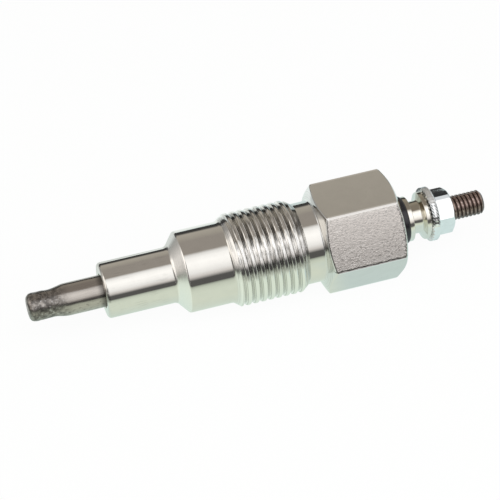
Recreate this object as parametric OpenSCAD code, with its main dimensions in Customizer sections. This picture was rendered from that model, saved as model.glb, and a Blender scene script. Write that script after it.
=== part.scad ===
// Diesel glow plug: sheathed heating rod, threaded body with a conical seat, insulated stud terminal.
// It lies on one flat of its hexagon. +X runs along the axis from the heated tip to the terminal stud,
// and the origin is on the axis, at the small end of the sealing cone. Millimetres.

/* [Heating rod] */
// Diameter of the sheath tube
sheath_d = 6.1; // [5.6:0.1:6.8]
// Wall of the sheath tube
sheath_wall = 0.7; // [0.5:0.05:0.8]
// Length of the sheath tube that stands out of the nose
sheath_reach = 14.2; // [12:0.1:18]
// Length of the sheath tube inside the body
sheath_grip = 19.2; // [15:0.1:20]
// Diameter of the swaged tip
tip_d = 5.25; // [5:0.05:5.6]
// Length of the swaged tip
tip_len = 4.9; // [4:0.1:6]
// Length of the swaged cone behind the tip
swage_len = 2.2; // [1.2:0.1:3]
// Rounding of the tip's end
tip_round = 1.1; // [0.3:0.05:1.2]
// Thickness of the tip's closed end
tip_wall = 0.9; // [0.6:0.05:1.5]

/* [Heating coil] */
// Diameter of the resistance wire
wire_d = 0.4; // [0.3:0.05:0.5]
// Diameter of the coil at the middle of its wire
coil_d = 2.6; // [2.4:0.05:2.8]
// Distance from one turn to the next
coil_pitch = 0.8; // [0.7:0.05:0.9]
// Number of full turns
coil_turns = 11; // [6:1:12]
// Distance from the first and last turn's wire to the faces beside them
coil_gap = 0.4; // [0.3:0.05:0.6]
// Clearance between the coil and the two pins that hold its ends
coil_clear = 0.05; // [0.03:0.01:0.1]
// Length of the weld pin that holds the coil at the closed tip
weld_len = 1.6; // [1:0.1:2.5]

/* [Electrode] */
// Diameter of the rod inside the sheath
rod_d = 3.2; // [3.1:0.05:3.3]
// Length of the pin at the rod's end that holds the coil
pin_len = 2.8; // [2:0.1:3.5]
// Diameter of the shank inside the body
shank_d = 4.2; // [3.8:0.05:4.6]
// Diameter over the stud's thread
stud_d = 4.75; // [4.7:0.05:5]
// Diameter of the stud inside nut, collar and bush, where its thread counts as its pitch diameter
engaged_d = 4.4; // [4.3:0.05:4.6]
// Length of the stud beyond the nut
stud_reach = 6.65; // [5:0.05:9]
// Chamfer at the stud's end
stud_chamfer = 0.5; // [0.2:0.05:0.8]

/* [Body] */
// Diameter of the nose
nose_d = 10.6; // [9.6:0.1:12]
// Length of the nose
nose_len = 13.2; // [12:0.1:18]
// Rounding of the nose's rim
nose_round = 0.65; // [0.2:0.05:1]
// Width of the recess round the sheath at the nose's mouth
mouth_gap = 0.25; // [0.1:0.05:0.5]
// Depth of that recess
mouth_depth = 0.4; // [0.2:0.05:1]
// Length of the sealing cone
seat_len = 2; // [1.5:0.1:4]
// Diameter of the shoulder between cone and thread
shoulder_d = 15.6; // [14.6:0.1:16]
// Length of the shoulder
shoulder_len = 8.6; // [6:0.1:12]
// Diameter over the thread
thread_d = 17.85; // [17.4:0.05:18]
// Length of the thread with its chamfers
thread_len = 14.4; // [10:0.1:20]
// Length of the chamfer where the thread starts
thread_lead = 1.2; // [0.5:0.1:1.5]
// Length of the chamfer where the thread ends
thread_runout = 1.5; // [0.5:0.1:2]
// Diameter of the neck between thread and hexagon
neck_d = 15.6; // [14.6:0.1:16]
// Length of the neck
neck_len = 3.2; // [1.5:0.1:5]
// Fillet between neck and hexagon
neck_fillet = 0.35; // [0.2:0.05:0.8]
// Width of the hexagon across its flats
hex_af = 18.6; // [18.4:0.1:22]
// Length of the hexagon with its chamfers
hex_len = 15.55; // [12:0.1:20]
// Radius at which the chamfer beside the neck starts
hex_front_r = 8.25; // [8.2:0.05:9]
// Angle of the chamfer beside the neck
hex_front_angle = 22; // [15:1:40]
// Radius at which the chamfer on the terminal side starts
hex_back_r = 9; // [8.4:0.05:9.1]
// Angle of the chamfer on the terminal side
hex_back_angle = 25; // [15:1:40]
// Diameter of the chamber round the electrode
chamber_d = 7; // [6.8:0.1:7.4]
// Distance from the inner end of the sheath back to the start of the chamber
chamber_step = 1; // [0.5:0.1:3]
// Diameter of the counterbore that takes seal and bush
counterbore_d = 8.4; // [8:0.1:9]
// Depth of the counterbore
counterbore_depth = 7.2; // [6:0.1:10]

/* [Insulator and seals] */
// Length of the seal in the sheath's open end
plug_len = 2.5; // [1.5:0.1:4]
// Diameter of the bush's head
bush_d = 9.2; // [9:0.1:11]
// Height of the bush's head above the hexagon
bush_head = 2.3; // [1.5:0.05:4]
// Chamfer round the bush's head
bush_chamfer = 0.3; // [0.1:0.05:0.6]
// Clearance round the bush's spigot and round the stud
bush_clear = 0.05; // [0.02:0.01:0.15]
// Clearance of the ring seal, which stands for its squeeze
ring_clear = 0.03; // [0.01:0.01:0.1]

/* [Terminal] */
// Length of the terminal collar
collar_len = 4.25; // [3:0.1:6]
// Diameter of the collar's flange beside the bush
collar_inner_d = 8.7; // [8:0.1:10]
// Thickness of that flange
collar_inner_t = 0.95; // [0.5:0.05:1.2]
// Diameter of the collar's waist
collar_waist_d = 6.3; // [5.8:0.1:7.5]
// Diameter of the collar's flange beside the nut
collar_outer_d = 9.2; // [8.6:0.1:10.4]
// Thickness of that flange at its rim
collar_outer_t = 0.85; // [0.5:0.05:1.2]
// Length of the cone that carries it
collar_cone = 0.5; // [0.3:0.05:0.9]
// Width of the nut across its flats
nut_af = 7.8; // [7.6:0.1:9]
// Height of the nut with its flange
nut_len = 4.95; // [4.5:0.1:7]
// Diameter of the nut's flange
flange_d = 10.5; // [9.8:0.1:12]
// Thickness of the flange at its rim
flange_t = 1.4; // [0.8:0.05:1.6]
// Angle of the flange's top
flange_angle = 25; // [10:1:30]
// Rounding of the flange's rim
flange_round = 0.3; // [0.1:0.05:0.4]
// Turn of the nut from the hexagon of the body
nut_turn = 18.75; // [0:0.25:60]
// Angle of the chamfer on the nut's free end
nut_chamfer_angle = 30; // [15:1:40]
// Number of lock teeth under the flange
tooth_count = 36; // [12:1:48]
// Depth of the lock teeth
tooth_depth = 0.25; // [0.1:0.05:0.4]

/* [Hidden] */

$fn = 64;
// Overlap that lets a cut run past a face
over = 1;

// Stations along the axis
nose_x = -nose_len;
tip_x = nose_x - sheath_reach;
swage_x = tip_x + tip_len;
sheath_start_x = swage_x + swage_len;
sheath_end_x = nose_x + sheath_grip;
chamber_x = sheath_end_x - chamber_step;
shoulder_x = seat_len;
thread_x = shoulder_x + shoulder_len;
neck_x = thread_x + thread_len;
hex_x = neck_x + neck_len;
hex_end_x = hex_x + hex_len;
ledge_x = hex_end_x - counterbore_depth;
collar_x = hex_end_x + bush_head;
nut_x = collar_x + collar_len;
nut_end_x = nut_x + nut_len;
stud_end_x = nut_end_x + stud_reach;

// Inside of the sheath and what it holds
bore_d = sheath_d - 2 * sheath_wall;
tip_bore_d = tip_d - 2 * sheath_wall;
fill_x = tip_x + tip_wall;
plug_x = sheath_end_x - plug_len;
coil_x = fill_x + coil_gap;
coil_len = coil_turns * coil_pitch;
rod_x = coil_x + coil_len + coil_gap;
pin_x = rod_x - pin_len;
pin_d = coil_d - wire_d - 2 * coil_clear;

// Ring seal between the shank and the counterbore
ring_d = (counterbore_d - shank_d) / 2 - 2 * ring_clear;
ring_mid_d = (counterbore_d + shank_d) / 2;
spigot_x = ledge_x + ring_d + 2 * ring_clear;
bush_bore_d = engaged_d + 2 * bush_clear;

// Corner radii of the two hexagons
hex_r = hex_af / sqrt(3);
nut_r = nut_af / sqrt(3);

// Lays a shape that is drawn upright along the plug's axis, from station x
module along(x = 0) {
    translate([x, 0, 0]) rotate([0, 90, 0]) children();
}

// Turns an outline of [station, radius] points about the plug's axis
module turned(outline) {
    along() rotate_extrude() polygon([for (p = outline) [p[1], p[0]]]);
}

// Cylinder of diameter d between two stations
module rod(x0, x1, d) {
    along(x0) cylinder(h = x1 - x0, d = d);
}

// Ring that rounds an outer edge of radius r: the edge is at station x, dir points into the piece
module edge_cut(x, r, round, dir) {
    along(x) rotate_extrude() difference() {
        translate([r - round, dir > 0 ? -over : -round]) square([round + over, round + over]);
        translate([r - round, dir * round]) circle(r = round);
    }
}

// Hexagonal bar with a flat facing down, between two stations
module hex_bar(x0, x1, r, turn = 0) {
    along(x0) rotate([0, 0, 30 - turn]) cylinder(h = x1 - x0, r = r, $fn = 6);
}

// Solid envelope of the hexagon: a cone at each end
module hex_envelope() {
    reach = 2 * hex_r;
    turned([[hex_x, 0], [hex_x, hex_front_r],
            [hex_x + (reach - hex_front_r) * tan(hex_front_angle), reach],
            [hex_end_x - (reach - hex_back_r) * tan(hex_back_angle), reach],
            [hex_end_x, hex_back_r], [hex_end_x, 0]]);
}

// Everything on the body that is turned outside
module body_turning() {
    turned([[nose_x, 0], [nose_x, nose_d / 2], [0, nose_d / 2], [shoulder_x, shoulder_d / 2],
            [thread_x, shoulder_d / 2], [thread_x + thread_lead, thread_d / 2],
            [neck_x - thread_runout, thread_d / 2], [neck_x, neck_d / 2],
            [hex_x + over, neck_d / 2], [hex_x + over, 0]]);
}

// Hollow fillet where the neck runs into the hexagon
module neck_blend() {
    along(hex_x) rotate_extrude() difference() {
        translate([neck_d / 2 - over, -neck_fillet]) square([neck_fillet + over, neck_fillet + over / 2]);
        translate([neck_d / 2 + neck_fillet, -neck_fillet]) circle(r = neck_fillet);
    }
}

// Stepped bore through the body: sheath seat, chamber, counterbore
module body_bore() {
    rod(nose_x - over, chamber_x + over, sheath_d);
    rod(nose_x - over, nose_x + mouth_depth, sheath_d + 2 * mouth_gap);
    rod(chamber_x, ledge_x + over, chamber_d);
    rod(ledge_x, hex_end_x + over, counterbore_d);
}

module body_shell() {
    color("#c9c5bc") difference() {
        union() {
            body_turning();
            neck_blend();
            intersection() {
                hex_bar(hex_x, hex_end_x, hex_r);
                hex_envelope();
            }
        }
        body_bore();
        edge_cut(nose_x, nose_d / 2, nose_round, 1);
    }
}

module sheath_tube() {
    color("#8a8178") difference() {
        turned([[tip_x, 0], [tip_x, tip_d / 2], [swage_x, tip_d / 2], [sheath_start_x, sheath_d / 2],
                [sheath_end_x, sheath_d / 2], [sheath_end_x, 0]]);
        sheath_hollow(sheath_end_x + over);
        edge_cut(tip_x, tip_d / 2, tip_round, 1);
    }
}

// Space inside the sheath, round the weld pin of its closed end and on to station x1
module sheath_hollow(x1) {
    turned([[fill_x + weld_len, 0], [fill_x + weld_len, pin_d / 2], [fill_x, pin_d / 2],
            [fill_x, tip_bore_d / 2], [swage_x, tip_bore_d / 2], [sheath_start_x, bore_d / 2],
            [x1, bore_d / 2], [x1, 0]]);
}

// Half a turn of the wire: tilted so that the next half turn starts where it ends
module half_turn() {
    tilt = atan(coil_pitch / 2 / coil_d);
    rotate([0, tilt, 0]) rotate_extrude(angle = 180) translate([coil_d / 2 / cos(tilt), 0]) circle(d = wire_d);
}

module heating_coil() {
    color("#6e6a66") along(coil_x)
        for (half = [0 : 2 * coil_turns - 1])
            translate([0, 0, (half + 0.5) * coil_pitch / 2]) rotate([0, 0, 180 * half]) half_turn();
}

module magnesia_fill() {
    color("#e6e1d6") difference() {
        sheath_hollow(plug_x);
        electrode_turning();
        heating_coil();
    }
}

// Outside of the electrode: pin, rod, shank, stud
module electrode_turning() {
    turned([[pin_x, 0], [pin_x, pin_d / 2], [rod_x, pin_d / 2], [rod_x, rod_d / 2],
            [sheath_end_x + over, rod_d / 2], [sheath_end_x + over, shank_d / 2],
            [hex_end_x, shank_d / 2], [hex_end_x, engaged_d / 2],
            [nut_end_x, engaged_d / 2], [nut_end_x, stud_d / 2],
            [stud_end_x - stud_chamfer, stud_d / 2], [stud_end_x, stud_d / 2 - stud_chamfer],
            [stud_end_x, 0]]);
}

module centre_electrode() {
    color("#6b5246") electrode_turning();
}

module sheath_seal() {
    color("#3c3a38") difference() {
        rod(plug_x, sheath_end_x, bore_d);
        rod(plug_x - over, sheath_end_x + over, rod_d);
    }
}

module ring_seal() {
    color("#26262a") along(ledge_x + ring_d / 2 + ring_clear)
        rotate_extrude() translate([ring_mid_d / 2, 0]) circle(d = ring_d);
}

module insulating_bush() {
    color("#1e1e22") difference() {
        turned([[spigot_x, 0], [spigot_x, counterbore_d / 2 - bush_clear],
                [hex_end_x, counterbore_d / 2 - bush_clear], [hex_end_x, bush_d / 2],
                [collar_x - bush_chamfer, bush_d / 2], [collar_x, bush_d / 2 - bush_chamfer], [collar_x, 0]]);
        rod(spigot_x - over, collar_x + over, bush_bore_d);
    }
}

module terminal_collar() {
    color("#b9b09a") difference() {
        turned([[collar_x, 0], [collar_x, collar_inner_d / 2],
                [collar_x + collar_inner_t, collar_inner_d / 2],
                [collar_x + collar_inner_t, collar_waist_d / 2],
                [nut_x - collar_outer_t - collar_cone, collar_waist_d / 2],
                [nut_x - collar_outer_t, collar_outer_d / 2], [nut_x, collar_outer_d / 2], [nut_x, 0]]);
        rod(collar_x - over, nut_x + over, engaged_d);
    }
}

// Flange of the nut: a rim with a shallow cone that runs in under the hexagon
module nut_flange() {
    cone_len = flange_d / 2 * tan(flange_angle);
    turned([[nut_x, 0], [nut_x, flange_d / 2], [nut_x + flange_t, flange_d / 2],
            [nut_x + flange_t + cone_len, 0]]);
}

// Hexagon of the nut with its chamfered free end
module nut_hex() {
    reach = 2 * nut_r;
    intersection() {
        hex_bar(nut_x, nut_end_x, nut_r, nut_turn);
        turned([[nut_x, 0], [nut_x, reach],
                [nut_end_x - (reach - nut_af / 2) * tan(nut_chamfer_angle), reach],
                [nut_end_x, nut_af / 2], [nut_end_x, 0]]);
    }
}

// Radial notches between the lock teeth
module tooth_notches() {
    half_width = PI * flange_d / tooth_count / 4;
    for (i = [0 : tooth_count - 1])
        along(nut_x) rotate([0, 0, 360 * i / tooth_count]) rotate([90, 0, 90])
            translate([0, 0, collar_waist_d / 2]) linear_extrude(flange_d / 2)
                polygon([[-half_width, -over], [-half_width, 0], [0, tooth_depth], [half_width, 0],
                         [half_width, -over]]);
}

module flange_nut() {
    color("#cfd6d8") difference() {
        union() {
            nut_flange();
            nut_hex();
        }
        rod(nut_x - over, nut_end_x + over, engaged_d);
        edge_cut(nut_x, flange_d / 2, flange_round, 1);
        edge_cut(nut_x + flange_t, flange_d / 2, flange_round, -1);
        tooth_notches();
    }
}

body_shell();
sheath_tube();
heating_coil();
magnesia_fill();
centre_electrode();
sheath_seal();
ring_seal();
insulating_bush();
terminal_collar();
flange_nut();
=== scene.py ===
"""Visual model of a diesel glow plug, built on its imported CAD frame.

Sizes and colours are in property groups, and one operator makes each piece. Everything is in metres.
+X runs along the plug's axis from the heated tip to the stud, and +Z is up from the flat that it lies on.
"""

import math

import bmesh
import bpy
from bpy.props import FloatProperty, FloatVectorProperty, PointerProperty
from mathutils import Matrix, Vector, noise


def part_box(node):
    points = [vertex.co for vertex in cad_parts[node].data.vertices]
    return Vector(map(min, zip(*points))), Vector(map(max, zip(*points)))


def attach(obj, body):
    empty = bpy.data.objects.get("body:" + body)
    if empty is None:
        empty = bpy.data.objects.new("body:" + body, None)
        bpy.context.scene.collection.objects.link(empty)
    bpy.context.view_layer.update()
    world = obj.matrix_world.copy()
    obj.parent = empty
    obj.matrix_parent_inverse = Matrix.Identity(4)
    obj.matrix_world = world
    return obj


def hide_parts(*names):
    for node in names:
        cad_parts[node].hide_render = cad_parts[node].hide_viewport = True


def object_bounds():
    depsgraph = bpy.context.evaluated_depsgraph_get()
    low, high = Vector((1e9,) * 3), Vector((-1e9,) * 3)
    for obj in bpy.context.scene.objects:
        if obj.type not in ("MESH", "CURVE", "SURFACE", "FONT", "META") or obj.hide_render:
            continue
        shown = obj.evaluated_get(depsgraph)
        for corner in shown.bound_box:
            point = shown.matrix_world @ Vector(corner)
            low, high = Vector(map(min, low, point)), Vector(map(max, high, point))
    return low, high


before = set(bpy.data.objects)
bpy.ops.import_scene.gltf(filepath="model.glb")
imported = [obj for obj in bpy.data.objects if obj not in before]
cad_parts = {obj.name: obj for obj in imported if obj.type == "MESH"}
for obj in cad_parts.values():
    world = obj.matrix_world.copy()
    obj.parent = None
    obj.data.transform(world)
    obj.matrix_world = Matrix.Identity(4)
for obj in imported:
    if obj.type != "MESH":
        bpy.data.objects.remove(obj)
CAD_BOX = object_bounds()

bl_info = {
    "name": "Diesel glow plug",
    "version": (1, 0, 0),
    "blender": (4, 5, 0),
    "location": "3D View > Sidebar > Glow Plug",
    "description": "Builds the pieces, finishes and stage of a diesel glow plug on its CAD frame",
    "category": "Object",
}

# Columns round the axis, and how many of them a hexagon's side, a lock tooth and a rib take
COLUMNS = 144
SIDE = 24
TOOTH = 4
RIB = 3
STEP = 2 * math.pi / COLUMNS
AXIS = Vector((1, 0, 0))
# Two points nearer than this are one
WELD = 1e-6
# Faces that meet at more than this keep a sharp edge
SHARP = math.radians(32)
# Stretch of a noise that makes rings round the axis of it
RINGS = (1, 2000, 2000)


def mm(value):
    """Millimetres as metres."""
    return value * 0.001


# Stations along the axis that the CAD model gives
NOSE_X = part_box("body_shell")[0].x
HEX_END_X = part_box("body_shell")[1].x
TIP_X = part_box("sheath_tube")[0].x
SHEATH_END_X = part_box("sheath_tube")[1].x
FILL_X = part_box("magnesia_fill")[0].x
PIN_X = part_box("centre_electrode")[0].x
STUD_END_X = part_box("centre_electrode")[1].x
SPIGOT_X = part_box("insulating_bush")[0].x
COLLAR_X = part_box("terminal_collar")[0].x
NUT_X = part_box("terminal_collar")[1].x
NUT_END_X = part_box("flange_nut")[1].x


# Properties


def length(name, description, value):
    """A length property whose default is given in millimetres."""
    return FloatProperty(name=name, description=description, default=mm(value), unit="LENGTH", precision=5)


def angle(name, description, degrees):
    """An angle property whose default is given in degrees."""
    return FloatProperty(name=name, description=description, default=math.radians(degrees), unit="ROTATION")


def colour(name, description, value):
    """A colour property."""
    return FloatVectorProperty(
        name=name, description=description, default=value, subtype="COLOR", size=3, min=0, max=1
    )


def amount(name, description, value, unit="NONE"):
    """A number property."""
    return FloatProperty(name=name, description=description, default=value, unit=unit, precision=4)


class BodySizes(bpy.types.PropertyGroup):
    """Sizes of the turned body."""

    nose_d: length("Nose diameter", "Diameter of the nose", 10.6)
    nose_round: length("Nose rounding", "Rounding of the nose's rim", 0.65)
    mouth_gap: length("Mouth gap", "Width of the recess round the sheath", 0.25)
    mouth_depth: length("Mouth depth", "Depth of the recess round the sheath", 0.4)
    bore_edge: length("Bore edge", "Rounding of the edges of mouth and counterbore", 0.1)
    seat_x: length("Seat start", "Station of the sealing cone's small end", 0)
    seat_len: length("Seat length", "Length of the sealing cone", 2)
    seat_fillet: length("Seat fillet", "Fillet between nose and sealing cone", 0.55)
    shoulder_d: length("Shoulder diameter", "Diameter between sealing cone and thread", 15.6)
    shoulder_edge: length("Shoulder edge", "Rounding between sealing cone and shoulder", 0.3)
    thread_x: length("Thread start", "Station where the thread starts", 10.6)
    thread_end_x: length("Thread end", "Station where the thread ends", 25)
    thread_d: length("Thread diameter", "Diameter over the thread", 17.85)
    thread_pitch: length("Thread pitch", "Distance from one turn to the next", 1.5)
    thread_depth: length("Thread depth", "Depth of the thread", 0.6)
    thread_lead: length("Thread lead", "Length of the chamfer where the thread starts", 1.2)
    thread_runout: length("Thread run-out", "Length of the chamfer where the thread ends", 1.5)
    thread_fillet: length("Thread fillet", "Length of the fillet where the thread starts", 0.4)
    neck_d: length("Neck diameter", "Diameter between thread and hexagon", 15.6)
    neck_fillet: length("Neck fillet", "Fillet between neck and hexagon", 0.5)
    hex_x: length("Hexagon start", "Station of the hexagon's face beside the neck", 28.2)
    hex_af: length("Hexagon width", "Width of the hexagon across its flats", 18.6)
    hex_front_r: length("Front chamfer radius", "Radius where the chamfer beside the neck starts", 8.25)
    hex_front_angle: angle("Front chamfer angle", "Angle of the chamfer beside the neck", 22)
    hex_front_edge: length("Front chamfer edge", "Rounding where the chamfer beside the neck starts", 0.04)
    hex_back_r: length("Back chamfer radius", "Radius where the chamfer on the terminal side starts", 9)
    hex_back_angle: angle("Back chamfer angle", "Angle of the chamfer on the terminal side", 25)
    hex_edge: length("Hexagon edge", "Rounding of the hexagon's edges", 0.3)
    seat_bore_d: length("Sheath seat diameter", "Bore that grips the sheath", 6.1)
    chamber_x: length("Chamber start", "Station where the chamber starts", 5)
    chamber_d: length("Chamber diameter", "Bore round the electrode", 7)
    ledge_x: length("Ledge", "Station of the counterbore's bottom", 36.55)
    counterbore_d: length("Counterbore diameter", "Bore that takes seal and bush", 8.4)


class RodSizes(bpy.types.PropertyGroup):
    """Sizes of the heating rod and the electrode."""

    sheath_d: length("Sheath diameter", "Diameter of the sheath tube", 6.1)
    sheath_edge: length("Sheath edge", "Rounding of the sheath's open end", 0.1)
    bore_d: length("Sheath bore", "Bore of the sheath tube", 4.7)
    sheath_x: length("Sheath start", "Station where the sheath has its full diameter", -20.3)
    swage_x: length("Swage", "Station where the swaged tip is narrowest", -22.5)
    swage_round: length("Swage rounding", "Rounding of the swaged tip's bends", 0.5)
    tip_neck_d: length("Tip neck", "Diameter at the narrowest place of the tip", 5.15)
    tip_d: length("Tip diameter", "Diameter at the tip's slight bulge", 5.32)
    tip_len: length("Tip length", "Distance from the tip's end to its bulge", 2)
    tip_bore_d: length("Tip bore", "Bore of the swaged tip", 3.85)
    tip_round: length("Tip rounding", "Rounding of the tip's end", 1.15)
    tip_dent: length("Tip dents", "Depth of the hammered dents in the tip", 0.07)
    weld_len: length("Weld pin length", "Length of the pin that holds the coil", 1.6)
    pin_d: length("Pin diameter", "Diameter of both pins that hold the coil", 2.1)
    pin_edge: length("Pin edge", "Rounding of the electrode's pin", 0.15)
    rod_x: length("Rod start", "Station where the electrode's rod starts", -16.9)
    rod_d: length("Rod diameter", "Diameter of the rod inside the sheath", 3.2)
    rod_edge: length("Rod edge", "Rounding of the edges of rod and shank", 0.2)
    shank_x: length("Shank start", "Station where the electrode's shank starts", 7)
    shank_d: length("Shank diameter", "Diameter of the shank inside the body", 4.2)
    engaged_d: length("Engaged diameter", "Diameter of the stud inside nut, collar and bush", 4.4)
    stud_d: length("Stud diameter", "Diameter over the stud's thread", 4.75)
    stud_pitch: length("Stud pitch", "Distance from one turn to the next", 0.8)
    stud_depth: length("Stud depth", "Depth of the stud's thread", 0.34)
    stud_chamfer: length("Stud chamfer", "Chamfer at the stud's end", 0.5)
    stud_sunk: length("Stud sunk", "Length of the stud's thread inside the nut", 0.45)


class TerminalSizes(bpy.types.PropertyGroup):
    """Sizes of bush, collar and nut."""

    spigot_d: length("Spigot diameter", "Diameter of the bush inside the body", 8.3)
    spigot_edge: length("Spigot edge", "Rounding of the bush's end inside the body", 0.2)
    bush_bore_d: length("Bush bore", "Bore of the bush", 4.5)
    bush_d: length("Bush diameter", "Diameter of the bush's head", 9.2)
    bush_round: length("Bush rounding", "Rounding of the bush's head", 0.3)
    bush_edge: length("Bush edge", "Rounding of the bush's head beside the hexagon", 0.12)
    collar_inner_d: length("Inner flange", "Diameter of the collar's flange beside the bush", 8.7)
    collar_inner_t: length("Inner flange thickness", "Thickness of the flange beside the bush", 0.95)
    collar_waist_d: length("Waist", "Diameter of the collar's waist", 6.3)
    collar_fillet: length("Waist fillet", "Fillet between waist and inner flange", 0.25)
    collar_outer_d: length("Outer flange", "Diameter of the collar's flange beside the nut", 9.2)
    collar_outer_t: length("Outer flange thickness", "Thickness of the flange beside the nut", 0.9)
    collar_cone: length("Collar cone", "Length of the cone behind the outer flange", 0.35)
    collar_cone_fillet: length("Cone fillet", "Fillet between waist and cone", 0.3)
    collar_edge: length("Collar edge", "Rounding of the collar's edges", 0.14)
    nut_af: length("Nut width", "Width of the nut across its flats", 7.8)
    nut_edge: length("Nut edge", "Rounding of the nut's edges", 0.1)
    nut_top_d: length("Nut top", "Diameter of the flat on the nut's free end", 7.5)
    nut_top_angle: angle("Nut chamfer angle", "Angle of the chamfer on the nut's free end", 30)
    nut_turn: angle("Nut turn", "Turn of the nut from the hexagon of the body", 18.75)
    flange_d: length("Flange diameter", "Diameter of the nut's flange", 10.5)
    flange_t: length("Flange thickness", "Thickness of the flange at its rim", 1.4)
    flange_angle: angle("Flange angle", "Angle of the flange's top", 25)
    flange_round: length("Flange rounding", "Rounding of the flange's rim", 0.2)
    tooth_depth: length("Tooth depth", "Depth of the lock teeth", 0.25)
    rib_depth: length("Rib depth", "Depth of the ribs on the flange's rear edge", 0.1)
    tooth_root_d: length("Tooth root", "Diameter where the lock teeth start", 6.3)
    tooth_ramp: length("Tooth ramp", "Stretch over which the lock teeth rise", 0.1)
    countersink_d: length("Countersink", "Diameter of the nut's countersink", 5.4)
    countersink_edge: length("Countersink edge", "Rounding of the countersink", 0.05)


class PlugColours(bpy.types.PropertyGroup):
    """Colours of the finishes."""

    nickel: colour("Nickel", "Bright nickel plate of the body", (0.78, 0.76, 0.72))
    sheath: colour("Sheath", "Satin heat-resistant alloy", (0.49, 0.452, 0.415))
    # Also the colour of the painted shadow on the sheath at the nose's mouth
    heat_tint_and_shade: colour("Heat tint", "Dull brown of the fired tip", (0.115, 0.106, 0.1))
    electrode: colour("Electrode", "Brown-tinted steel of the stud", (0.3, 0.225, 0.195))
    bush: colour("Bush", "Black moulding", (0.012, 0.0115, 0.014))
    collar: colour("Collar", "Slightly yellow nickel", (0.9, 0.87, 0.8))
    # Painted shade on top of the collar
    collar_top_shade: colour("Collar, aged", "Yellowed nickel on top of the collar", (0.54, 0.5, 0.42))
    zinc: colour("Zinc", "Bluish zinc plate of the nut", (0.97, 0.985, 0.99))
    # Painted shade on top of the nut
    zinc_top_shade: colour("Zinc, aged", "Dulled zinc on top of the nut", (0.5, 0.52, 0.53))
    wire: colour("Wire", "Resistance wire", (0.38, 0.36, 0.34))
    magnesia: colour("Magnesia", "Compacted powder", (0.9, 0.87, 0.82))
    rubber: colour("Rubber", "Seals", (0.06, 0.06, 0.065))


class StageSettings(bpy.types.PropertyGroup):
    """Camera and light."""

    target_x: length("Target", "Station on the axis that the camera looks at", 15.8)
    aside: length("Aside", "Shift of the target across the view", -0.335)
    above: length("Above", "Shift of the target up the view", 1.03)
    distance: length("Distance", "Distance from the target to the camera", 353)
    lean: angle("Lean", "Turn of the view towards the heated tip", 10.5)
    height: angle("Height", "Height of the view above the floor", 41.25)
    roll: angle("Roll", "Roll of the camera", 4.2)
    lens: amount("Lens", "Focal length in millimetres", 135, "CAMERA")
    lamp: amount("Lamp", "Power of the lamp in watts", 4.6, "POWER")
    lamp_x: length("Lamp place", "Station on the axis that lamp and floor are centred on", 17)
    lamp_height: angle("Lamp height", "Height of the lamp above the floor", 50.5)
    lamp_away: length("Lamp distance", "Distance of the lamp from the axis", 600)
    softbox: amount("Softbox", "Brightness of the studio card's white part", 1.3)
    card_radius: length("Card radius", "Radius of the studio card about the axis", 620)
    end_card_away: length("End card distance", "Distance of the end card from the origin", 360)
    floor_radius: length("Floor radius", "Radius of the floor", 500)
    floor: colour("Floor", "Pale floor", (0.9, 0.95, 0.92))
    floor_front: colour("Floor in front", "Mirrored floor in front of the plug", (0.78, 0.86, 0.74))
    # Painted contact shadow on the mirrored floor close under the plug
    floor_under_shadow: colour("Floor underneath", "Mirrored floor close to the plug", (0.69, 0.81, 0.74))
    floor_hex: colour("Floor by the hexagon", "Mirrored floor below the hexagon", (0.58, 0.71, 0.72))
    floor_aside: colour("Floor aside", "Mirrored floor behind the tip", (0.62, 0.655, 0.63))
    floor_behind: colour("Floor behind", "Mirrored floor behind the plug", (0.95, 1, 0.98))
    ceiling: colour("Ceiling", "Warm grey part of the studio card, overhead", (0.355, 0.327, 0.297))
    rear_ceiling: colour("Rear ceiling", "Olive grey part of the card, behind", (0.415, 0.388, 0.342))
    end_card: colour("End card", "Warm card beyond the heated tip", (1, 0.96, 0.91))
    horizon: colour("Horizon", "Dark part of the card, low in front and behind", (0.11, 0.11, 0.108))


class PlugSettings(bpy.types.PropertyGroup):
    """All settings of the glow plug."""

    body: PointerProperty(type=BodySizes)
    rod: PointerProperty(type=RodSizes)
    terminal: PointerProperty(type=TerminalSizes)
    colours: PointerProperty(type=PlugColours)
    stage: PointerProperty(type=StageSettings)


# Shaping


def bevel(bm, geom, size, affect, segments, clamp=False):
    """Rounds corners of an outline or edges of a solid."""
    bmesh.ops.bevel(
        bm,
        geom=geom,
        offset=size,
        offset_type="OFFSET",
        segments=segments,
        profile=0.5,
        affect=affect,
        clamp_overlap=clamp,
        material=-1,
    )


def spin(bm, turn, steps, forward=0, merge=False):
    """Spins what is drawn about the plug's axis, and moves it forward with each step."""
    bmesh.ops.spin(
        bm,
        geom=bm.verts[:] + bm.edges[:],
        cent=(0, 0, 0),
        axis=AXIS,
        dvec=AXIS * forward,
        angle=turn,
        steps=steps,
        use_merge=merge,
        use_duplicate=False,
    )


def draw_outline(outline, closed=False):
    """Draws an outline of (station, radius, rounding) corners and rounds the corners that ask for it."""
    bm = bmesh.new()
    corners = [bm.verts.new((x, -radius, 0)) for x, radius, _ in outline]
    ends = corners[1:] + corners[:1] if closed else corners[1:]
    for start, end in zip(corners, ends):
        bm.edges.new((start, end))
    for size in sorted({rounding for _, _, rounding in outline if rounding}):
        sharp = [corner for corner, (_, _, rounding) in zip(corners, outline) if rounding == size]
        bevel(bm, sharp, size, "VERTICES", segments=4)
    return bm


def turn_outline(bm):
    """Spins what is drawn all round the plug's axis."""
    spin(bm, 2 * math.pi, COLUMNS, merge=True)
    bmesh.ops.remove_doubles(bm, verts=bm.verts[:], dist=WELD)
    bmesh.ops.recalc_face_normals(bm, faces=bm.faces[:])


def radius_of(vert):
    """Distance of a vertex from the plug's axis."""
    return math.hypot(vert.co.y, vert.co.z)


def column_of(vert):
    """Number of the column that a vertex lies on, counted from -Y."""
    return round(math.atan2(-vert.co.z, -vert.co.y) / STEP) % COLUMNS


def place(vert, x, radius, column):
    """Sets a vertex by station, radius and column."""
    turn = column * STEP
    vert.co = (x, -radius * math.cos(turn), -radius * math.sin(turn))


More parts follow.
